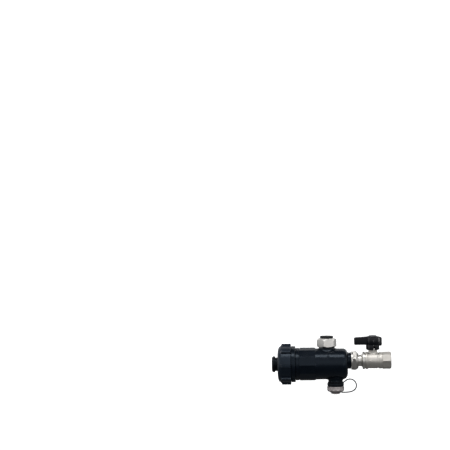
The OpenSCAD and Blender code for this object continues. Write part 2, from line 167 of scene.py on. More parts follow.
def polygon_radius(theta, sides, flats, turn):
    """Distance from the middle of a regular polygon to its edge.

    flats is the width across its flats, and turn is the angle of one of its corners.
    """
    step = 360 / sides
    off = (theta - turn) % step - step / 2
    return flats / 2 / math.cos(math.radians(off))


def smoothstep(value, start, end):
    t = min(1, max(0, (value - start) / (end - start)))
    return t * t * (3 - 2 * t)


# ---------------------------------------------------------------- surfaces

def along_x(z):
    """Places outline points round an axis that runs along x at a height."""
    def place(s, r, theta):
        a = math.radians(theta)
        return (s, -r * math.sin(a), z + r * math.cos(a))
    return place


def along_z(x):
    """Places outline points round a vertical axis in the filter's middle plane."""
    def place(s, r, theta):
        a = math.radians(theta)
        return (x + r * math.cos(a), -r * math.sin(a), s)
    return place


def band_faces(size, bands):
    """Faces that join each ring of size points to the next ring."""
    faces = []
    for first in range(0, bands * size, size):
        for i in range(size):
            j = (i + 1) % size
            faces.append([first + i, first + j, first + size + j, first + size + i])
    return faces


def turned(outline, place, angles, reshape=None, loop=False):
    """A surface of revolution as (points, faces). reshape(s, r, theta) changes a radius."""
    points, faces, rings = [], [], []
    for s, r in outline:
        if r < 1e-6:
            rings.append([len(points)])
            points.append(place(s, 0, 0))
            continue
        rings.append(list(range(len(points), len(points) + len(angles))))
        for theta in angles:
            radius = reshape(s, r, theta) if reshape else r
            points.append(place(s, radius, theta))
    pairs = list(zip(rings, rings[1:]))
    if loop:
        pairs.append((rings[-1], rings[0]))
    count = len(angles)
    for a, b in pairs:
        for i in range(count):
            j = (i + 1) % count
            quad = [a[i % len(a)], a[j % len(a)], b[j % len(b)], b[i % len(b)]]
            face = list(dict.fromkeys(quad))
            if len(face) > 2:
                faces.append(face)
    return points, faces


def sector(outline, place, start, end, steps):
    """A closed outline swept only from one angle to another, with flat ends."""
    size = len(outline)
    points = []
    for k in range(steps + 1):
        theta = start + (end - start) * k / steps
        points += [place(s, r, theta) for s, r in outline]
    faces = band_faces(size, steps)
    faces.append(list(range(size)))
    faces.append([steps * size + i for i in reversed(range(size))])
    return points, faces


def loft(rings):
    """A closed surface through rings of points, with a fan over each end."""
    size = len(rings[0])
    points = [p for ring in rings for p in ring]
    faces = band_faces(size, len(rings) - 1)
    for k in (0, len(rings) - 1):
        middle_point = sum((Vector(p) for p in rings[k]), Vector()) / size
        points.append(tuple(middle_point))
        faces += [[k * size + i, k * size + (i + 1) % size, len(points) - 1]
                  for i in range(size)]
    return points, faces


def neck_on_barrel(centre_x, axis_z, side, barrel_r, neck_r, fillet, end, sink, steps, count):
    """A round neck on a barrel along x, with a fillet that follows the barrel's curve.

    side is 1 for a neck on top and -1 for one below. end is the outline of the neck's end, with
    stations counted from the barrel's axis, and sink is how far the foot goes into the barrel.
    """
    place = along_z(centre_x)
    angles = even_angles(count)
    foot_r = neck_r + fillet

    def on_barrel(r, lift):
        ring = []
        for theta in angles:
            across = r * math.sin(math.radians(theta))
            height = math.sqrt(barrel_r ** 2 - across ** 2) + lift
            ring.append(place(axis_z + side * height, r, theta))
        return ring

    rings = [on_barrel(foot_r, -sink)]
    for k in range(steps + 1):
        a = math.radians(90 * k / steps)
        rings.append(on_barrel(foot_r - fillet * math.sin(a), fillet * (1 - math.cos(a))))
    for s, r in end[1:-1]:
        rings.append([place(axis_z + side * s, r, theta) for theta in angles])
    return loft(rings)


def arrow_on_barrel(outline, centre, axis_z, side, barrel_r, layers):
    """A raised arrow on the front (side -1) or back (side 1) of a barrel along x.

    centre and the outline's points are (x, height), with heights counted from the barrel's axis and
    the arrow's centre. Each layer is its lift above the barrel and its size.
    """
    rings = []
    for lift, size in layers:
        ring = []
        for x, h in outline:
            height = centre[1] + h * size
            depth = math.sqrt(barrel_r ** 2 - height ** 2) + lift
            ring.append((centre[0] + x * size, side * depth, axis_z + height))
        rings.append(ring)
    return loft(rings)


def thread_depth(s, theta, start, end, pitch, depth, hand=1):
    """How far a thread's ridge stands above its root, fading out at both ends.

    hand is 1 where the ridge gains station as the angle grows, and -1 where it loses it.
    """
    phase = ((s - start) / pitch - hand * theta / 360) % 1
    ridge = 1 - abs(2 * phase - 1)
    height = smoothstep(ridge, 0.12, 0.78)
    fade = smoothstep(s, start, start + pitch * 0.8) * (1 - smoothstep(s, end - pitch * 0.8, end))
    return depth * height * fade


def piece(name, surfaces, material, body, nodes, sharp):
    """One object from some closed surfaces, which rides on a body and stands for CAD nodes.

    Edges sharper than the angle sharp are shaded as edges.
    """
    mesh = bpy.data.meshes.new(name)
    build = bmesh.new()
    for points, faces in surfaces:
        corners = [build.verts.new([c * MM for c in p]) for p in points]
        new_faces = [build.faces.new([corners[i] for i in face]) for face in faces]
        bmesh.ops.recalc_face_normals(build, faces=new_faces)
    bmesh.ops.triangulate(build, faces=[f for f in build.faces if len(f.verts) > 4])
    build.to_mesh(mesh)
    build.free()
    mesh.polygons.foreach_set("use_smooth", [True] * len(mesh.polygons))
    mesh.set_sharp_from_angle(angle=math.radians(sharp))
    mesh.materials.append(material)
    made = bpy.data.objects.new(name, mesh)
    bpy.context.scene.collection.objects.link(made)
    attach(made, body)
    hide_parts(*nodes)
    return made


# ---------------------------------------------------------------- materials

class Nodes:
    """Builds a material's node tree, one short call for each node."""

    def __init__(self, name):
        self.material = bpy.data.materials.new(name)
        self.material.use_nodes = True
        self.tree = self.material.node_tree
        self.shader = self.tree.nodes["Principled BSDF"]
        self.place = self.add("ShaderNodeTexCoord").outputs["Object"]

    def add(self, kind, **values):
        node = self.tree.nodes.new(kind)
        for key, value in values.items():
            setattr(node, key, value)
        return node

    def join(self, source, target):
        self.tree.links.new(source, target)

    def set(self, **values):
        for key, value in values.items():
            self.shader.inputs[key.replace("_", " ")].default_value = value

    def noise(self, scale, detail, roughness=0.5, stretch=(1, 1, 1)):
        mapping = self.add("ShaderNodeMapping")
        mapping.inputs["Scale"].default_value = stretch
        self.join(self.place, mapping.inputs["Vector"])
        node = self.add("ShaderNodeTexNoise")
        node.inputs["Scale"].default_value = scale
        node.inputs["Detail"].default_value = detail
        node.inputs["Roughness"].default_value = roughness
        self.join(mapping.outputs["Vector"], node.inputs["Vector"])
        return node.outputs["Fac"]

    def ranged(self, value, low_in, high_in, low_out, high_out):
        node = self.add("ShaderNodeMapRange")
        node.inputs["From Min"].default_value = low_in
        node.inputs["From Max"].default_value = high_in
        node.inputs["To Min"].default_value = low_out
        node.inputs["To Max"].default_value = high_out
        self.join(value, node.inputs["Value"])
        return node.outputs["Result"]

    def sum(self, first, second):
        node = self.add("ShaderNodeMath", operation="ADD")
        self.join(first, node.inputs[0])
        self.join(second, node.inputs[1])
        return node.outputs[0]

    def mix(self, factor, first, second):
        node = self.add("ShaderNodeMix", data_type="RGBA")
        self.join(factor, node.inputs["Factor"])
        for socket, colour in (("A", first), ("B", second)):
            target = next(i for i in node.inputs if i.name == socket and i.type == "RGBA")
            if isinstance(colour, tuple):
                target.default_value = (*colour, 1)
            else:
                self.join(colour, target)
        return next(o for o in node.outputs if o.type == "RGBA")

    def colour(self, value):
        self.join(value, self.shader.inputs["Base Color"])

    def rough(self, value):
        self.join(value, self.shader.inputs["Roughness"])

    def bump(self, layers):
        """Stacks (height, strength, distance in mm) layers of relief."""
        normal = None
        for height, strength, distance in layers:
            node = self.add("ShaderNodeBump")
            node.inputs["Strength"].default_value = strength
            node.inputs["Distance"].default_value = distance * MM
            self.join(height, node.inputs["Height"])
            if normal:
                self.join(normal, node.inputs["Normal"])
            normal = node.outputs["Normal"]
        self.join(normal, self.shader.inputs["Normal"])

    def edges(self):
        """1 on outward edges and corners, and 0 on flat and hollow places."""
        pointy = self.add("ShaderNodeNewGeometry").outputs["Pointiness"]
        return self.ranged(pointy, 0.52, 0.6, 0, 1)


def moulded(name, dark, light, rough, grain=0.025, shine=0.3):
    """Moulded plastic: cloudy colour, fine spark-eroded grain and slightly rubbed edges."""
    look = Nodes(name)
    cloud = look.ranged(look.noise(42, 4), 0.3, 0.7, 0, 1)
    base = look.mix(cloud, dark, light)
    rubbed = tuple(c * 1.9 + 0.008 for c in light)
    look.colour(look.mix(look.ranged(look.edges(), 0, 1, 0, 0.3), base, rubbed))
    smear = look.noise(95, 3)
    look.rough(look.ranged(smear, 0.25, 0.75, *rough))
    look.bump([(look.noise(2600, 2), 0.35, grain), (look.noise(120, 2), 0.08, 0.12)])
    look.set(IOR=1.5, Specular_IOR_Level=shine, Specular_Tint=(0.7, 0.84, 1, 1))
    return look.material


def plated(name, bright, dull, rough, lines, relief=0.012):
    """Metal with faint clouding and handling marks. Its fine tool lines run round the axis lines."""
    look = Nodes(name)
    cloud = look.ranged(look.noise(60, 5), 0.3, 0.72, 0, 1)
    look.colour(look.mix(cloud, bright, dull))
    stretch = {"x": (60, 1, 1), "z": (1, 1, 60), "none": (1, 1, 1)}[lines]
    tool = look.noise(160, 3, 0.6, stretch)
    smear = look.noise(240, 4)
    blur = look.ranged(smear, 0.25, 0.75, *rough)
    look.rough(look.sum(look.ranged(tool, 0.2, 0.8, -0.04, 0.04), blur))
    look.bump([(tool, 0.22, relief), (look.noise(900, 3), 0.1, 0.01)])
    look.set(Metallic=1.0)
    return look.material


def glossy_plastic(name, dark, light, rough):
    """Smooth injection-moulded plastic with faint flow marks and hairline scratches."""
    look = Nodes(name)
    cloud = look.ranged(look.noise(50, 3), 0.3, 0.7, 0, 1)
    look.colour(look.mix(cloud, dark, light))
    scratch = look.noise(420, 5, 0.7, (1, 1, 5))
    look.rough(look.ranged(scratch, 0.3, 0.75, *rough))
    look.bump([(look.noise(75, 2), 0.06, 0.25), (look.noise(1500, 2), 0.06, 0.01)])
    look.set(IOR=1.5, Specular_IOR_Level=0.15, Coat_Weight=0.3, Coat_Roughness=0.12)
    return look.material


def rubber(name):
    look = Nodes(name)
    bloom = look.ranged(look.noise(130, 4), 0.35, 0.8, 0, 1)
    look.colour(look.mix(bloom, (0.011, 0.011, 0.012), (0.03, 0.03, 0.032)))
    look.rough(look.ranged(look.noise(300, 3), 0.3, 0.7, 0.58, 0.75))
    look.bump([(look.noise(1800, 3), 0.3, 0.02)])
    return look.material


BODY_BLACK = moulded("moulded_black", (0.0018, 0.0034, 0.0062), (0.003, 0.0055, 0.0098),
                     (0.2, 0.29), shine=0.22)
CAP_BLACK = moulded("moulded_cap_black", (0.0035, 0.0065, 0.012), (0.006, 0.01, 0.0175),
                    (0.28, 0.4))
TRIM_BLACK = moulded("moulded_trim_black", (0.0015, 0.002, 0.0035), (0.003, 0.0038, 0.0055),
                     (0.34, 0.46), shine=0.2)
LEVER_BLACK = glossy_plastic("lever_black", (0.0015, 0.002, 0.004), (0.003, 0.0037, 0.006),
                             (0.2, 0.28))
LEVER_GREY = glossy_plastic("lever_grey", (0.06, 0.063, 0.07), (0.085, 0.088, 0.096), (0.3, 0.42))
NICKEL_UP = plated("nickel_upright", (0.82, 0.8, 0.77), (0.7, 0.68, 0.65), (0.28, 0.36), "none")
NICKEL = plated("nickel_turned", (0.7, 0.685, 0.655), (0.56, 0.54, 0.51), (0.3, 0.4), "x")
NICKEL_CAST = plated("nickel_forged", (0.66, 0.635, 0.595), (0.54, 0.515, 0.475), (0.48, 0.56),
                     "none", 0.03)
CAP_NICKEL = plated("nickel_dull", (0.6, 0.55, 0.545), (0.47, 0.43, 0.425), (0.4, 0.52), "z")
CHROME = plated("ball_chrome", (0.86, 0.87, 0.88), (0.8, 0.81, 0.82), (0.05, 0.1), "none", 0.002)
BRASS = plated("turned_brass", (0.72, 0.53, 0.26), (0.58, 0.41, 0.19), (0.22, 0.36), "z")
STEEL = plated("stainless", (0.62, 0.62, 0.62), (0.5, 0.5, 0.5), (0.22, 0.36), "x")
MAGNET = plated("magnet_nickel", (0.56, 0.56, 0.57), (0.44, 0.44, 0.45), (0.2, 0.34), "none")
RUBBER = rubber("seal_rubber")
PTFE = moulded("white_seal", (0.78, 0.77, 0.73), (0.84, 0.83, 0.8), (0.4, 0.55), 0.01)


# ---------------------------------------------------------------- filter body

BODY_R = 28.2
CHAMBER_R = 23.6
MOUTH_R = 26
MOUTH_THREAD_R = 28.1
MOUTH_PITCH = 4
GRIP_SIDES = 12
GRIP_CORNER_R = 30
GRIP_FLATS = 2 * GRIP_CORNER_R * math.cos(math.radians(180 / GRIP_SIDES))
NECK_FILLET = 3.4
NECK_FLOOR = CHAMBER_R + 0.2

# G 3/4 threads: the radius and depth inside a nut, the radius of an outer thread's root, the pitch
THREAD_MINOR = 12.06
THREAD_CUT = 1.1
THREAD_ROOT = 11.2
UNION_PITCH = 1.814
UNION_FLATS = 32


def cut_thread(s, r, theta, start, end):
    """Radius of a G 3/4 thread that is cut into the wall of a bore."""
    return r + THREAD_CUT - thread_depth(s, theta, start, end, UNION_PITCH, THREAD_CUT, -1)


def saddle_neck(centre_x, side, neck_r, tip, inner_r):
    """A neck on top of the body (side 1) or under it (side -1).

    tip is how far its end is from the body's axis. Its bore ends just outside the chamber.
    """
    end = rounded([(0, 0), (tip, neck_r, 0.5), (tip, inner_r, 0.2), (NECK_FLOOR, inner_r),
                   (NECK_FLOOR, 0)])
    return neck_on_barrel(centre_x, BODY_Z, side, BODY_R - 0.15, neck_r, NECK_FILLET, end,
                          sink=2, steps=8, count=112)


def body_shell():
    mouth = rounded([(-78, MOUTH_R), (-78, MOUTH_THREAD_R, 0.3), (-77, MOUTH_THREAD_R)])
    thread = dense([(-76.8, MOUTH_THREAD_R), (-65.3, MOUTH_THREAD_R)], 0.36)
    collar = rounded([
        (-65.2, MOUTH_THREAD_R), (-64.3, 28.6, 0.2), (-64.3, 32.7, 0.9), (-57, 32.7, 1.5),
        (-57, 28.7, 0.4), (-56.3, 28.5, 0.3), (-56.2, 29.4, 0.5), (-50.5, 29.4, 0.5),
        (-50.4, 28, 0.3), (-49.7, 28)])
    grip = [(-49.6, 28.4), (-49.6, 29.2), (-49.4, 29.8), (-48.9, 30.2), (-48.3, 30.4),
            (-40, 30.4), (-30, 30.4), (-22.3, 30.4), (-21.7, 30.2), (-21.2, 29.7),
            (-21, 29.1), (-20.9, 28.4)]
    barrel = [(-20.4, BODY_R + 0.05), (-18, BODY_R), (0, BODY_R - 0.15), (15, BODY_R - 0.35),
              (28, BODY_R - 0.5)]
    dome = arc((29.7, 17.2), (8, 10.5), 88, 0, 14) + [(37.7, 8), (37.7, 0)]
    chamber = [(31.5, 0), (31.5, 20), (26, 20), (26, CHAMBER_R), (-66.5, CHAMBER_R), (-66.5, MOUTH_R)]

    def reshape(s, r, theta):
        if -49.7 < s < -20.8 and r > 28.3:
            flat = polygon_radius(theta, GRIP_SIDES, GRIP_FLATS, 0)
            return least(r, flat, sharpness=110)
        if -77 < s < -65 and 28 < r < 28.2:
            return r + thread_depth(s, theta, -76.9, -65.4, MOUTH_PITCH, 1.0)
        return r

    outline = mouth + thread + collar[1:] + grip + barrel + dome + chamber
    angles = corner_angles(GRIP_SIDES, 0, 9)
    return turned(outline, along_x(BODY_Z), angles, reshape, loop=True)


def outlet_neck():
    root = rounded([
        (33, 0), (33, 16), (36.6, 16.4), (38.4, 14.7, 1), (41.2, 14.6, 0.6), (41.8, 15.1, 0.3),
        (43.5, 15.1, 0.4), (43.5, 12, 0.2), (44.2, THREAD_ROOT)])
    thread = dense([(44.3, THREAD_ROOT), (49.9, THREAD_ROOT)], 0.2)
    tip = rounded([(50.0, THREAD_ROOT), (50.5, 10.8, 0.2), (50.5, 9, 0.3), (34.5, 9), (34.5, 0)])

    def reshape(s, r, theta):
        if 44.2 < s < 50 and abs(r - THREAD_ROOT) < 0.1:
            return r + thread_depth(s, theta, 44.0, 50.2, UNION_PITCH, 0.72)
        return r

    return turned(root + thread + tip, along_x(VALVE_Z), even_angles(112), reshape)


def flow_arrow():
    """Small raised arrow on the front of the body, pointing down towards the drain side."""
    outline = [(-1.2, 3), (1.2, 3), (1.2, -0.4), (3, -0.4), (0, -3.6), (-3, -0.4), (-1.2, -0.4)]
    layers = ((-1, 1), (0.3, 1), (0.5, 0.86))
    return arrow_on_barrel(outline, (2.3, 16), BODY_Z, -1, BODY_R, layers)


def seal_eye():
    """Small eye on the lower front of the collar, for a sealing wire."""
    tilt = Matrix.Rotation(math.radians(144), 3, "X")
    profile = rounded([(28, 0), (28, 2.9), (34.4, 2.9, 0.6), (34.4, 1.2, 0.3), (32, 1.2), (32, 0)])

    def place(s, r, theta):
        a = math.radians(theta)
        point = tilt @ Vector((r * math.cos(a), r * math.sin(a), s))
        return (point.x - 61, point.y, point.z + BODY_Z)

    return turned(profile, place, even_angles(40))


def make_body():
    surfaces = [
        body_shell(),
        saddle_neck(0, 1, neck_r=13.7, tip=29.4, inner_r=9.25),
        saddle_neck(DRAIN_X, -1, neck_r=12.9, tip=32, inner_r=11),
        outlet_neck(),
        flow_arrow(),
        seal_eye(),
    ]
    piece("filter_body_shell", surfaces, BODY_BLACK, "filter_body", ["housing"], 40)


# ---------------------------------------------------------------- ring nut and knob

LUG_R = 37.1
RING_R = 33.5
RING_THREAD_R = 29.35
RING_CUT = 0.9
LUGS = 8


def make_ring_nut():
    face = rounded([(-89.2, 22), (-88.7, 26.5, 6), (-86.9, 31, 3), (-83, RING_R)])
    outer = dense([(-82.2, RING_R), (-65.4, RING_R)], 0.45)
    back = rounded([(-65.2, RING_R), (-64.9, RING_R - 0.3, 0.2), (-64.9, 29.4)])
    thread = dense([(-65.4, RING_THREAD_R), (-83.9, RING_THREAD_R)], 0.36)
    inner = [(-84, 29.3), (-84.3, 29), (-84.3, 22)]
    outline = face + outer + back + thread + inner
    step = 360 / LUGS

    def reshape(s, r, theta):
        if r > 33 and -83.5 < s < -65:
            off = abs((theta + step / 2) % step - step / 2)
            across = math.radians(off) * r
            flank = 1 - smoothstep(across, 2.5, 3.3)
            ends = smoothstep(s, -83.2, -81.2) * (1 - smoothstep(s, -65.5, -65.05) * 0.25)
            return r + (LUG_R - RING_R) * flank * ends
        if 29.3 < r < 29.4:
            return r + RING_CUT - thread_depth(s, theta, -84, -65.3, MOUTH_PITCH, RING_CUT)
        return r

    # Angles from the middle of a lug, close together on its flanks, up to the middle of a gap
    beside = (0, 1.2, 2.4, 3.4, 3.9, 4.3, 4.7, 5.1, 5.5, 5.9, 7, 9, 12, 15, 18.5, step / 2)
    angles = sorted({(k * step + side * a) % 360 for k in range(LUGS) for a in beside
                     for side in (-1, 1)})
    surface = turned(outline, along_x(BODY_Z), angles, reshape, loop=True)
    piece("ring_nut_shell", [surface], CAP_BLACK, "cover_ring", ["ring_nut"], 38)


def make_knob():
    front, back = low("magnet_knob", 0), high("magnet_knob", 0)
    head = rounded([(front + 1.2, 0), (front + 1.2, 8.2, 0.5), (front, 8.8, 0.4), (front, 11)])
    shoulder = arc((front + 4, 10.75), (4, 4), 180, 90, 8)
    rest = rounded([(front + 5, 14.75), (front + 5.5, 14.75, 0.5), (front + 5.5, 12.3, 1.2),
                    (-84.9, 12.3, 0.2), (-84.9, 11.2, 0.2), (-82.9, 11.2, 0.2), (-82.9, 12.3, 0.2),
                    (-80.3, 12.3, 0.3), (-80.3, 8, 0.3), (back, 8, 0.2), (back, 2.5),
                    (-84, 2.5), (-84, 0)])
    surface = turned(head[:-1] + shoulder[1:] + rest, along_x(BODY_Z), even_angles(96))
    piece("magnet_knob_shell", [surface], TRIM_BLACK, "magnet_cartridge", ["magnet_knob"],
          38)


# ---------------------------------------------------------------- union nuts

def make_boiler_nut():
    foot, top = low("boiler_nut", 2), high("boiler_nut", 2)
    turn = 45.4
    outer = rounded([(foot, 9.3), (foot, 13.9, 0.5), (foot + 3.1, 18.7)])
    shoulder = arc((top - 6.2, 13.1), (6.2, 5.6), 90, 0, 12)
    mouth = [(top, 12.6), (top - 0.7, THREAD_MINOR)]
    thread = dense([(top - 0.8, THREAD_MINOR), (foot + 2.7, THREAD_MINOR)], 0.2)
    floor = [(foot + 2.5, 12), (foot + 2.5, 9.3)]
    outline = dense(outer + shoulder, 0.35) + mouth + thread + floor

    def reshape(s, r, theta):
        if r > 13.2:
            return least(r, polygon_radius(theta, 6, UNION_FLATS, turn), sharpness=200)
        if abs(r - THREAD_MINOR) < 0.001:
            return cut_thread(s, r, theta, foot + 2.6, top - 0.7)
        return r

    surface = turned(outline, along_z(0), corner_angles(6, turn, 14), reshape, loop=True)
    piece("boiler_nut_plated", [surface], NICKEL_UP, "boiler_union", ["boiler_nut"], 26)


def make_valve_nut():
    front, back = low("valve_nut", 0), high("valve_nut", 0)
    turn = 16
    rim = rounded([(front, 12.7), (front, 16.7, 0.7), (front + 2.6, 16.7, 0.6), (front + 3.1, 16.3)])
    hexagon = dense([(front + 3.2, 17.0), (front + 3.9, 18.7), (front + 6.6, 18.7),
                     (back - 0.4, 13.8)], 0.3)
    floor = rounded([(back - 0.3, 13.6), (back, 13.2, 0.3), (back, 10.8, 0.4),
                     (back - 1.5, 10.7, 0.1), (back - 1.5, 12.4)])
    thread = dense([(back - 1.6, THREAD_MINOR), (front + 0.7, THREAD_MINOR)], 0.2)
    outline = rim + hexagon + floor + thread

    def reshape(s, r, theta):
        if s > front + 3.15 and r > 13.5:
            return least(r, polygon_radius(theta, 6, UNION_FLATS, turn), sharpness=200)
        if abs(r - THREAD_MINOR) < 0.001:
            return cut_thread(s, r, theta, front + 0.6, back - 1.6)
        return r

    surface = turned(outline, along_x(VALVE_Z), corner_angles(6, turn, 14), reshape, loop=True)
    piece("valve_nut_plated", [surface], NICKEL, "valve_union", ["valve_nut"], 26)


# ---------------------------------------------------------------- ball valve

JOINT_X = 69.2
VALVE_END = 116
END_SIDES = 8
END_FLATS = 29
VALVE_R = 14.6


def make_valve_tail():
    outline = rounded([
        (52.4, 8.4, 0.2), (52.4, 11.9, 0.3), (54.4, 11.9, 0.2), (54.4, 10.6, 0.2), (61.9, 10.6, 1.5),
        (63.9, 12.4, 1.5), (64.2, 15.2, 0.4), (64.7, 16.2, 0.6), (67.7, 16.2, 0.5),
        (68.2, 15.6, 0.2), (68.2, 14.2, 0.2), (JOINT_X, 14.2, 0.1), (JOINT_X, 12.2, 0.1),
        (71.5, 12.2, 0.1), (71.5, 8.4, 0.2)], loop=True)
    surface = turned(outline, along_x(VALVE_Z), even_angles(128), loop=True)
    piece("valve_tail_plated", [surface], NICKEL, "filter_body", ["valve_tail"], 34)


def valve_barrel():
    barrel = rounded([
        (94.3, 12.3), (JOINT_X, 12.3, 0.2), (JOINT_X, 14.2, 0.1), (69.7, 14.2, 0.2),
        (69.7, 15.4, 0.3), (70.2, 15.8, 0.3), (73, 15.8, 0.6), (74.4, VALVE_R, 0.8),
        (90.4, VALVE_R, 1.5), (91.7, 13.8, 1), (93, 13.8, 1), (94.1, 14.9, 0.6),
        (99.7, 14.9, 0.5), (100.3, 14.4)])
    octagon = dense([(100.4, 14.6), (101.2, 15.8), (VALVE_END - 2.6, 15.8),
                     (VALVE_END - 0.3, 14.2)], 0.35)
    mouth = rounded([(VALVE_END - 0.15, 14.0), (VALVE_END, 13.6, 0.2), (VALVE_END, 13.0, 0.2),
                     (VALVE_END - 0.9, THREAD_MINOR + 0.3)])
    thread = dense([(VALVE_END - 1, THREAD_MINOR), (101.3, THREAD_MINOR)], 0.22)
    floor = rounded([(101, 12), (101, 8.2, 0.3), (94.3, 8.2)])

    def reshape(s, r, theta):
        if s > 100.35 and r > 14.05:
            return least(r, polygon_radius(theta, END_SIDES, END_FLATS, 0), sharpness=200)
        if abs(r - THREAD_MINOR) < 0.001:
            return cut_thread(s, r, theta, 101.2, VALVE_END - 0.8)
        return r

    outline = barrel + octagon + mouth + thread + floor
    angles = corner_angles(END_SIDES, 0, 10)
    return turned(outline, along_x(VALVE_Z), angles, reshape, loop=True)


def stem_boss():
    """Boss for the stem, on top of the round valve body."""
    boss_r, fillet = 8.1, 1.2
    end = rounded([(0, 0), (18.5, boss_r, 0.6), (18.5, 6.3, 0.3), (15.8, 6.3), (15.8, 4.05),
                   (13, 4.05), (13, 0)])
    return neck_on_barrel(STEM_X, VALVE_Z, 1, VALVE_R - 0.1, boss_r, fillet, end,
                          sink=1, steps=7, count=96)


def valve_arrow(side):
    """Raised flow arrow on the front (side -1) or back (side 1) of the valve body."""
    outline = [(6, 1.1), (-0.5, 1.1), (-0.5, 3.4), (-6, 0), (-0.5, -3.4), (-0.5, -1.1), (6, -1.1)]
    layers = ((-0.9, 1), (0.75, 1), (1.1, 0.8))
    return arrow_on_barrel(outline, (STEM_X - 1, 0), VALVE_Z, side, VALVE_R, layers)


def make_valve_body():
    surfaces = [valve_barrel(), stem_boss(), valve_arrow(-1), valve_arrow(1)]
    piece("valve_body_plated", surfaces, NICKEL_CAST, "filter_body", ["valve_body"], 28)


# ---------------------------------------------------------------- lever

def blade_ring(x, bottom, top, half, corner, count=9):
    """Cross-section of the lever's blade, a rectangle with rounded corners.

    x is counted from the stem's axis, bottom and top from the valve's, and half is half the width.
    """
    points = []
    corner = min(corner, half * 0.98, (top - bottom) / 2 * 0.98)
    centres = [(half - corner, top - corner, 0), (corner - half, top - corner, 90),
               (corner - half, bottom + corner, 180), (half - corner, bottom + corner, 270)]
    for y, z, start in centres:
        for k in range(count):
            a = math.radians(start + 90 * k / (count - 1))
            points.append((STEM_X + x, y + corner * math.cos(a), VALVE_Z + z + corner * math.sin(a)))
    return points


def lever_arm():
    """Blade that runs from the tip over the hub to the tail, from (x, bottom, top, half) places."""
    stations = [
        (-33.5, 31.5, 39, 2.2), (-33.3, 29.6, 40.6, 3.3), (-32.6, 28.5, 41.5, 4),
        (-31, 28.1, 41.9, 4.4), (-22, 28.1, 42.4, 4.5), (-12, 28.1, 43.2, 4.8),
        (-7, 28.1, 43.9, 5.2), (0, 28.1, 44, 5.4), (7, 28, 43.8, 5.2), (11, 27.4, 43.2, 4.9),
        (12.5, 26.4, 42.8, 4.7), (14.6, 26.2, 42.3, 4.5), (15.9, 26.5, 41.7, 4.2),
        (16.6, 27.4, 40.6, 3.4), (16.8, 29.4, 38.8, 2.4)]
    rings = [blade_ring(x, bottom, top, half, 1.3) for x, bottom, top, half in stations]
    return loft(rings)


def make_lever():
    hub = [(26, 0), (26, 11.6), (28.2, 12)] + arc((35.2, 10.4), (7, 1.3), 170, 20, 14)
    hub += rounded([(43.2, 10.2), (44.2, 8.2, 0.3), (44.2, 7.5, 0.15), (42.6, 7.4), (42.6, 0)])
    skirt = rounded([(19, 9.6, 0.3), (19, 10.9, 0.5), (20.7, 12.2, 0.8), (27, 12.2, 0.2),
                     (27, 9.6, 0.2)], loop=True)
    cover = rounded([(25.4, 0), (25.4, 12.1, 0.1), (28.4, 12.15, 0.4), (28.6, 0)])
    place = along_z(STEM_X)
    lifted = [[(s + VALVE_Z, r) for s, r in outline] for outline in (hub, skirt, cover)]
    notch_start, notch_end = 68, 84
    surfaces = [
        turned(lifted[0], place, even_angles(112)),
        sector(lifted[1], place, notch_end, 360 + notch_start, 110),
        turned(lifted[2], place, even_angles(112)),
        lever_arm(),
    ]
    piece("lever_moulding", surfaces, LEVER_BLACK, "lever", ["handle"], 36)
    cap = rounded([(41, 0), (41, 4.9), (42.6, 4.9), (42.6, 7.3, 0.1), (44.6, 7.3, 0.5),
                   (45.3, 6.2, 1.5), (45.7, 3, 2), (45.7, 0)])
    surface = turned([(s + VALVE_Z, r) for s, r in cap], place, even_angles(80))
    piece("lever_cap_disc", [surface], LEVER_GREY, "lever", ["handle_cap"], 36)


# ---------------------------------------------------------------- drain

NOZZLE_ROOT = 11.95
CAP_BORE = 13.12
CAP_CUT = 0.9
CAP_FLUTES = 12


def make_drain_nozzle():
    z = BODY_Z
    collar = rounded([
        (z - 28, 0), (z - 28, 10.8), (z - 32, 10.9, 0.1), (z - 32.1, 12.9, 0.2),
        (z - 32.4, 12.9, 0.1), (z - 32.4, 11.6, 0.2), (z - 34.7, 11.6, 0.2),
        (z - 34.7, 14.8, 0.5), (z - 36, 15.1, 0.5), (z - 38.6, 15.1, 0.4), (z - 39, 14.6, 0.2),
        (z - 39.5, 14.6, 0.2), (z - 39.9, 14.9, 0.2), (z - 40.2, 14.2, 0.3), (z - 40.2, 12.2)])
    thread = dense([(z - 40.5, NOZZLE_ROOT), (z - 47.0, NOZZLE_ROOT)], 0.2)
    tip = rounded([(z - 47.3, 11.6), (z - 47.5, 11.2, 0.2), (z - 47.5, 9, 0.3), (z - 29, 9),
                   (z - 29, 0)])

    def reshape(s, r, theta):
        if abs(r - NOZZLE_ROOT) < 0.001:
            return r + thread_depth(s, theta, z - 47.2, z - 40.4, UNION_PITCH, 1.05)
        return r

    surface = turned(collar + thread + tip, along_z(DRAIN_X), even_angles(112), reshape)
    piece("drain_nozzle_moulding", [surface], TRIM_BLACK, "filter_body", ["drain_body"],
          36)


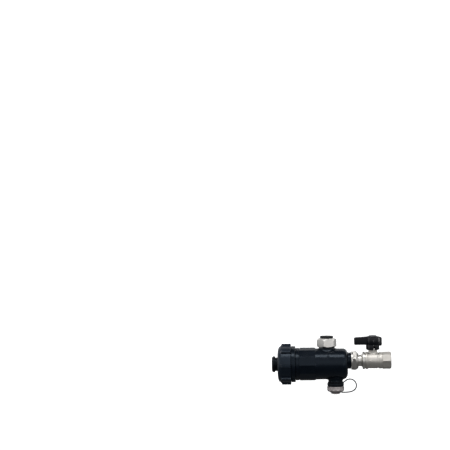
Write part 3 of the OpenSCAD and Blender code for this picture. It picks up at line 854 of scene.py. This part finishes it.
def make_drain_cap():
    z = BODY_Z
    rim = rounded([(z - 40.9, 13.2), (z - 40.9, 15.5, 0.5), (z - 42, 15.5)])
    side = dense([(z - 42.2, 15.5), (z - 46.4, 15.5)], 0.35)
    shoulder = arc((z - 46.4, 11.2), (-3.9, 4.3), 90, 20, 8)
    tip = rounded([
        (z - 50.2, 12.2), (z - 50.35, 11, 0.3), (z - 50.35, 9, 0.3), (z - 50.7, 8.6, 0.2),
        (z - 53.7, 8.5, 0.6), (z - 54.4, 6.4, 0.6), (z - 54.9, 5, 0.6), (z - 54.9, 0)])
    floor = [(z - 49.2, 0), (z - 49.2, 13.6)]
    thread = dense([(z - 48.9, CAP_BORE), (z - 41.2, CAP_BORE)], 0.25)

    def reshape(s, r, theta):
        if r > 14.4 and z - 47.6 < s < z - 42.1:
            wave = (math.cos(math.radians((theta - 90) * CAP_FLUTES)) + 1) / 2
            ends = smoothstep(s, z - 47.6, z - 46.2) * (1 - smoothstep(s, z - 42.9, z - 42.2))
            return r - 0.7 * ends * (1 - wave) ** 1.5
        if abs(r - CAP_BORE) < 0.001:
            return r + CAP_CUT - thread_depth(s, theta, z - 49, z - 41.1, UNION_PITCH, CAP_CUT, -1)
        return r

    outline = rim + side + shoulder[1:] + tip + floor + thread
    surface = turned(outline, along_z(DRAIN_X), even_angles(192), reshape, loop=True)
    piece("drain_cap_plated", [surface], CAP_NICKEL, "cap", ["drain_cap"], 34)


# ---------------------------------------------------------------- tether

STRAP_D = 2.2
CAP_LOOP_R = 10.4

# Route of the strap: x, then height above the body's axis, from the neck to the cap
STRAP_ROUTE = [
    (29.1, -34), (31.2, -32.4), (33.6, -30.5), (36.4, -28.9), (39.8, -28.1), (43.4, -28.3),
    (46.7, -29.6), (49.5, -31.8), (51.5, -34.8), (52.5, -38.4), (52.2, -42.2), (50.6, -45.6),
    (47.8, -48.3), (44.2, -50.1), (40.2, -51.1), (36, -51.6), (31.6, -51.8), (27.2, -51.8)]


def smooth_route(route, per_span=4):
    """A Catmull-Rom curve through the route's points."""
    points = [Vector(p) for p in route]
    padded = [2 * points[0] - points[1], *points, 2 * points[-1] - points[-2]]
    out = []
    for i in range(1, len(padded) - 2):
        a, b, c, d = padded[i - 1:i + 3]
        for k in range(per_span):
            t = k / per_span
            out.append(0.5 * (2 * b + (c - a) * t + (2 * a - 5 * b + 4 * c - d) * t * t
                              + (3 * b - a - 3 * c + d) * t ** 3))
    out.append(points[-1])
    return out


def make_tether():
    line = smooth_route(STRAP_ROUTE)
    line.append(Vector((DRAIN_X + CAP_LOOP_R - 0.2, STRAP_ROUTE[-1][1])))
    rings = []
    for i, point in enumerate(line):
        ahead = line[min(i + 1, len(line) - 1)] - line[max(i - 1, 0)]
        across = Vector((-ahead[1], ahead[0])).normalized()
        ring = []
        for k in range(20):
            a = math.radians(18 * k)
            out = across * (STRAP_D / 2 * math.cos(a))
            ring.append((point[0] + out[0], STRAP_D / 2 * math.sin(a), BODY_Z + point[1] + out[1]))
        rings.append(ring)
    strap = piece("tether_cord", [loft(rings)], TRIM_BLACK, "filter_body", ["tether_strap"],
                  50)
    path = [(p[0] * MM, 0, (BODY_Z + p[1]) * MM) for p in line]
    length = sum(math.dist(a, b) for a, b in zip(path, path[1:]))
    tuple(path[0])
    # The strap lets go of the body that piece() gave it
    strap.parent = None
    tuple(path[0])
    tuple(path[-1])
    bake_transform(strap)

    for name, node, body, outer, inner, height in (
            ("tether_neck_loop", "tether_top_ring", "filter_body", 14.3, 11.7, 2),
            ("tether_cap_loop", "tether_cap_ring", "cap_carrier", CAP_LOOP_R, 8.75, 1)):
        top = high(node, 2)
        foot = max(low(node, 2), top - height)
        outline = rounded([(foot, inner, 0.3), (foot, outer, 0.7), (top, outer, 0.7),
                           (top, inner, 0.3)], loop=True)
        surface = turned(outline, along_z(DRAIN_X), even_angles(96), loop=True)
        piece(name, [surface], TRIM_BLACK, body, [node], 50)


# ---------------------------------------------------------------- carried-over CAD nodes

CARRIED = {
    "cover": CAP_BLACK, "strainer_frame": TRIM_BLACK, "boiler_tail": TRIM_BLACK,
    "strainer_mesh": STEEL, "magnet_rod": STEEL, "rod_nut": STEEL, "pole_discs": STEEL,
    "handle_screw": STEEL, "ring_magnets": MAGNET, "ball": CHROME, "stem": BRASS,
    "gland_nut": NICKEL_UP, "drain_spindle": BRASS, "boiler_slip_ring": BRASS,
    "valve_slip_ring": BRASS, "cover_oring": RUBBER, "knob_oring": RUBBER,
    "strainer_seal": RUBBER, "boiler_tail_oring": RUBBER, "boiler_gasket": RUBBER,
    "outlet_gasket": RUBBER, "valve_tail_oring": RUBBER, "drain_body_oring": RUBBER,
    "drain_seal": RUBBER, "drain_cap_seal": RUBBER, "seat_left": PTFE, "seat_right": PTFE,
    "stem_packing": PTFE}


def finish_carried():
    for node, material in CARRIED.items():
        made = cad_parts[node]
        made.data.materials.clear()
        made.data.materials.append(material)


# ---------------------------------------------------------------- studio

# The picture's width at the filter and the camera's distance from it, in metres, the camera's rise
# and roll in degrees, and how far right and up the filter's middle is, as shares of the width
VIEW_WIDTH = 0.8235
CAMERA_FAR = 2.4
CAMERA_RISE = 5.5
CAMERA_ROLL = -1.0
OFF_CENTRE = (0.2324, -0.3136)


def make_camera():
    """Camera in front and a little above, with the filter low and right of the picture's middle."""
    camera = bpy.data.cameras.new("camera")
    camera.sensor_width = 36
    camera.lens = camera.sensor_width * CAMERA_FAR / VIEW_WIDTH
    camera.clip_start = 0.05
    camera.clip_end = 50
    made = bpy.data.objects.new("camera", camera)
    lowest, highest = (Vector(c) for c in CAD_BOX)
    centre = (lowest + highest) / 2
    rise = math.radians(CAMERA_RISE)
    towards = Vector((0, math.cos(rise), -math.sin(rise)))
    right = Vector((1, 0, 0))
    up = right.cross(towards)
    made.location = centre - towards * CAMERA_FAR
    aim = centre - right * OFF_CENTRE[0] * VIEW_WIDTH - up * OFF_CENTRE[1] * VIEW_WIDTH
    ahead = (aim - made.location).normalized()
    side = (right - ahead * right.dot(ahead)).normalized()
    over = side.cross(ahead)
    turn = Matrix((side, over, -ahead)).transposed()
    turn = turn @ Matrix.Rotation(math.radians(CAMERA_ROLL), 3, "Z")
    made.rotation_mode = "QUATERNION"
    made.rotation_quaternion = turn.to_quaternion()
    bpy.context.scene.collection.objects.link(made)
    bpy.context.scene.camera = made


def area_light(name, place, target, size, power):
    light = bpy.data.lights.new(name, "AREA")
    light.shape = "RECTANGLE"
    light.size, light.size_y = size
    light.energy = power
    made = bpy.data.objects.new(name, light)
    made.location = place
    aim = Vector(target) - Vector(place)
    made.rotation_mode = "QUATERNION"
    made.rotation_quaternion = aim.to_track_quat("-Z", "Y")
    bpy.context.scene.collection.objects.link(made)


def make_floor():
    """White paper under the filter, which bends up into a wall behind it. Sizes are in metres."""
    floor_z = CAD_BOX[0][2] - 0.12
    half_width, front, back, bend, wall = 6, -6, 3.2, 1.2, 5
    profile = [(front, floor_z), (back, floor_z)]
    for k in range(1, 13):
        a = math.radians(90 * k / 12)
        profile.append((back + bend * math.sin(a), floor_z + bend * (1 - math.cos(a))))
    profile.append((back + bend, floor_z + wall))
    points = [(x, y, z) for y, z in profile for x in (-half_width, half_width)]
    faces = [(2 * i, 2 * i + 1, 2 * i + 3, 2 * i + 2) for i in range(len(profile) - 1)]
    mesh = bpy.data.meshes.new("floor")
    mesh.from_pydata(points, [], faces)
    mesh.polygons.foreach_set("use_smooth", [True] * len(mesh.polygons))
    look = Nodes("floor_paper")
    look.colour(look.mix(look.noise(3, 2), (0.9, 0.9, 0.9), (0.93, 0.93, 0.93)))
    look.rough(look.ranged(look.noise(8, 2), 0, 1, 0.85, 0.95))
    look.set(Emission_Color=(1, 1, 1, 1), Emission_Strength=0.3)
    mesh.materials.append(look.material)
    floor = bpy.data.objects.new("floor", mesh)
    bpy.context.scene.collection.objects.link(floor)
    floor.visible_glossy = False
    floor.visible_diffuse = False


def make_lights():
    area_light("overhead", (0.05, -0.55, 1.15), (0.02, 0, -0.05), (1.3, 0.36), 9.5)
    area_light("left_strip", (-1.3, -0.5, 0.15), (0, 0, -0.05), (0.4, 0.9), 1.3)
    area_light("right_strip", (0.95, -1.05, 0.05), (0, 0, -0.05), (0.45, 0.7), 0.35)
    area_light("spark", (0.42, -1.25, -0.05), (0.085, 0, 0.02), (0.09, 0.12), 0.5)
    area_light("backdrop", (0, 2.0, 2.6), (0, 4.2, 0.6), (5, 2), 130)


def make_sky():
    """A studio sky: a bright band above the horizon, dim overhead and dark below.

    It only lights and shows in the filter. Where the camera sees past the floor it is white.
    """
    world = bpy.data.worlds.new("studio")
    world.use_nodes = True
    tree = world.node_tree
    place = tree.nodes.new("ShaderNodeTexCoord")
    split = tree.nodes.new("ShaderNodeSeparateXYZ")
    ramp = tree.nodes.new("ShaderNodeValToRGB")
    background = tree.nodes["Background"]
    tree.links.new(place.outputs["Generated"], split.inputs["Vector"])
    rise = tree.nodes.new("ShaderNodeMapRange")
    rise.inputs["From Min"].default_value = -1
    rise.inputs["From Max"].default_value = 1
    tree.links.new(split.outputs["Z"], rise.inputs["Value"])
    tree.links.new(rise.outputs["Result"], ramp.inputs["Fac"])
    stops = [(0.0, 0.26), (0.1, 0.18), (0.2, 0.14), (0.41, 0.15), (0.45, 0.42), (0.5, 0.75),
             (0.57, 1.25), (0.73, 1.3), (0.83, 0.7), (0.93, 0.24), (1.0, 0.12)]
    while len(ramp.color_ramp.elements) < len(stops):
        ramp.color_ramp.elements.new(1.0)
    for element, (position, value) in zip(ramp.color_ramp.elements, stops):
        element.position = position
        element.color = (value * 0.97, value * 0.985, value, 1)
    tree.links.new(ramp.outputs["Color"], background.inputs["Color"])
    background.inputs["Strength"].default_value = 0.75
    white = tree.nodes.new("ShaderNodeBackground")
    white.inputs["Color"].default_value = (1, 1, 1, 1)
    rays = tree.nodes.new("ShaderNodeLightPath")
    choice = tree.nodes.new("ShaderNodeMixShader")
    tree.links.new(rays.outputs["Is Camera Ray"], choice.inputs["Fac"])
    tree.links.new(background.outputs["Background"], choice.inputs[1])
    tree.links.new(white.outputs["Background"], choice.inputs[2])
    tree.links.new(choice.outputs["Shader"], tree.nodes["World Output"].inputs["Surface"])
    bpy.context.scene.world = world


# ---------------------------------------------------------------- everything

make_camera()
make_tether()
make_body()
make_ring_nut()
make_knob()
make_boiler_nut()
make_valve_nut()
make_valve_tail()
make_valve_body()
make_lever()
make_drain_nozzle()
make_drain_cap()
finish_carried()
make_floor()
make_sky()
make_lights()
bpy.context.scene.view_settings.view_transform = "Standard"
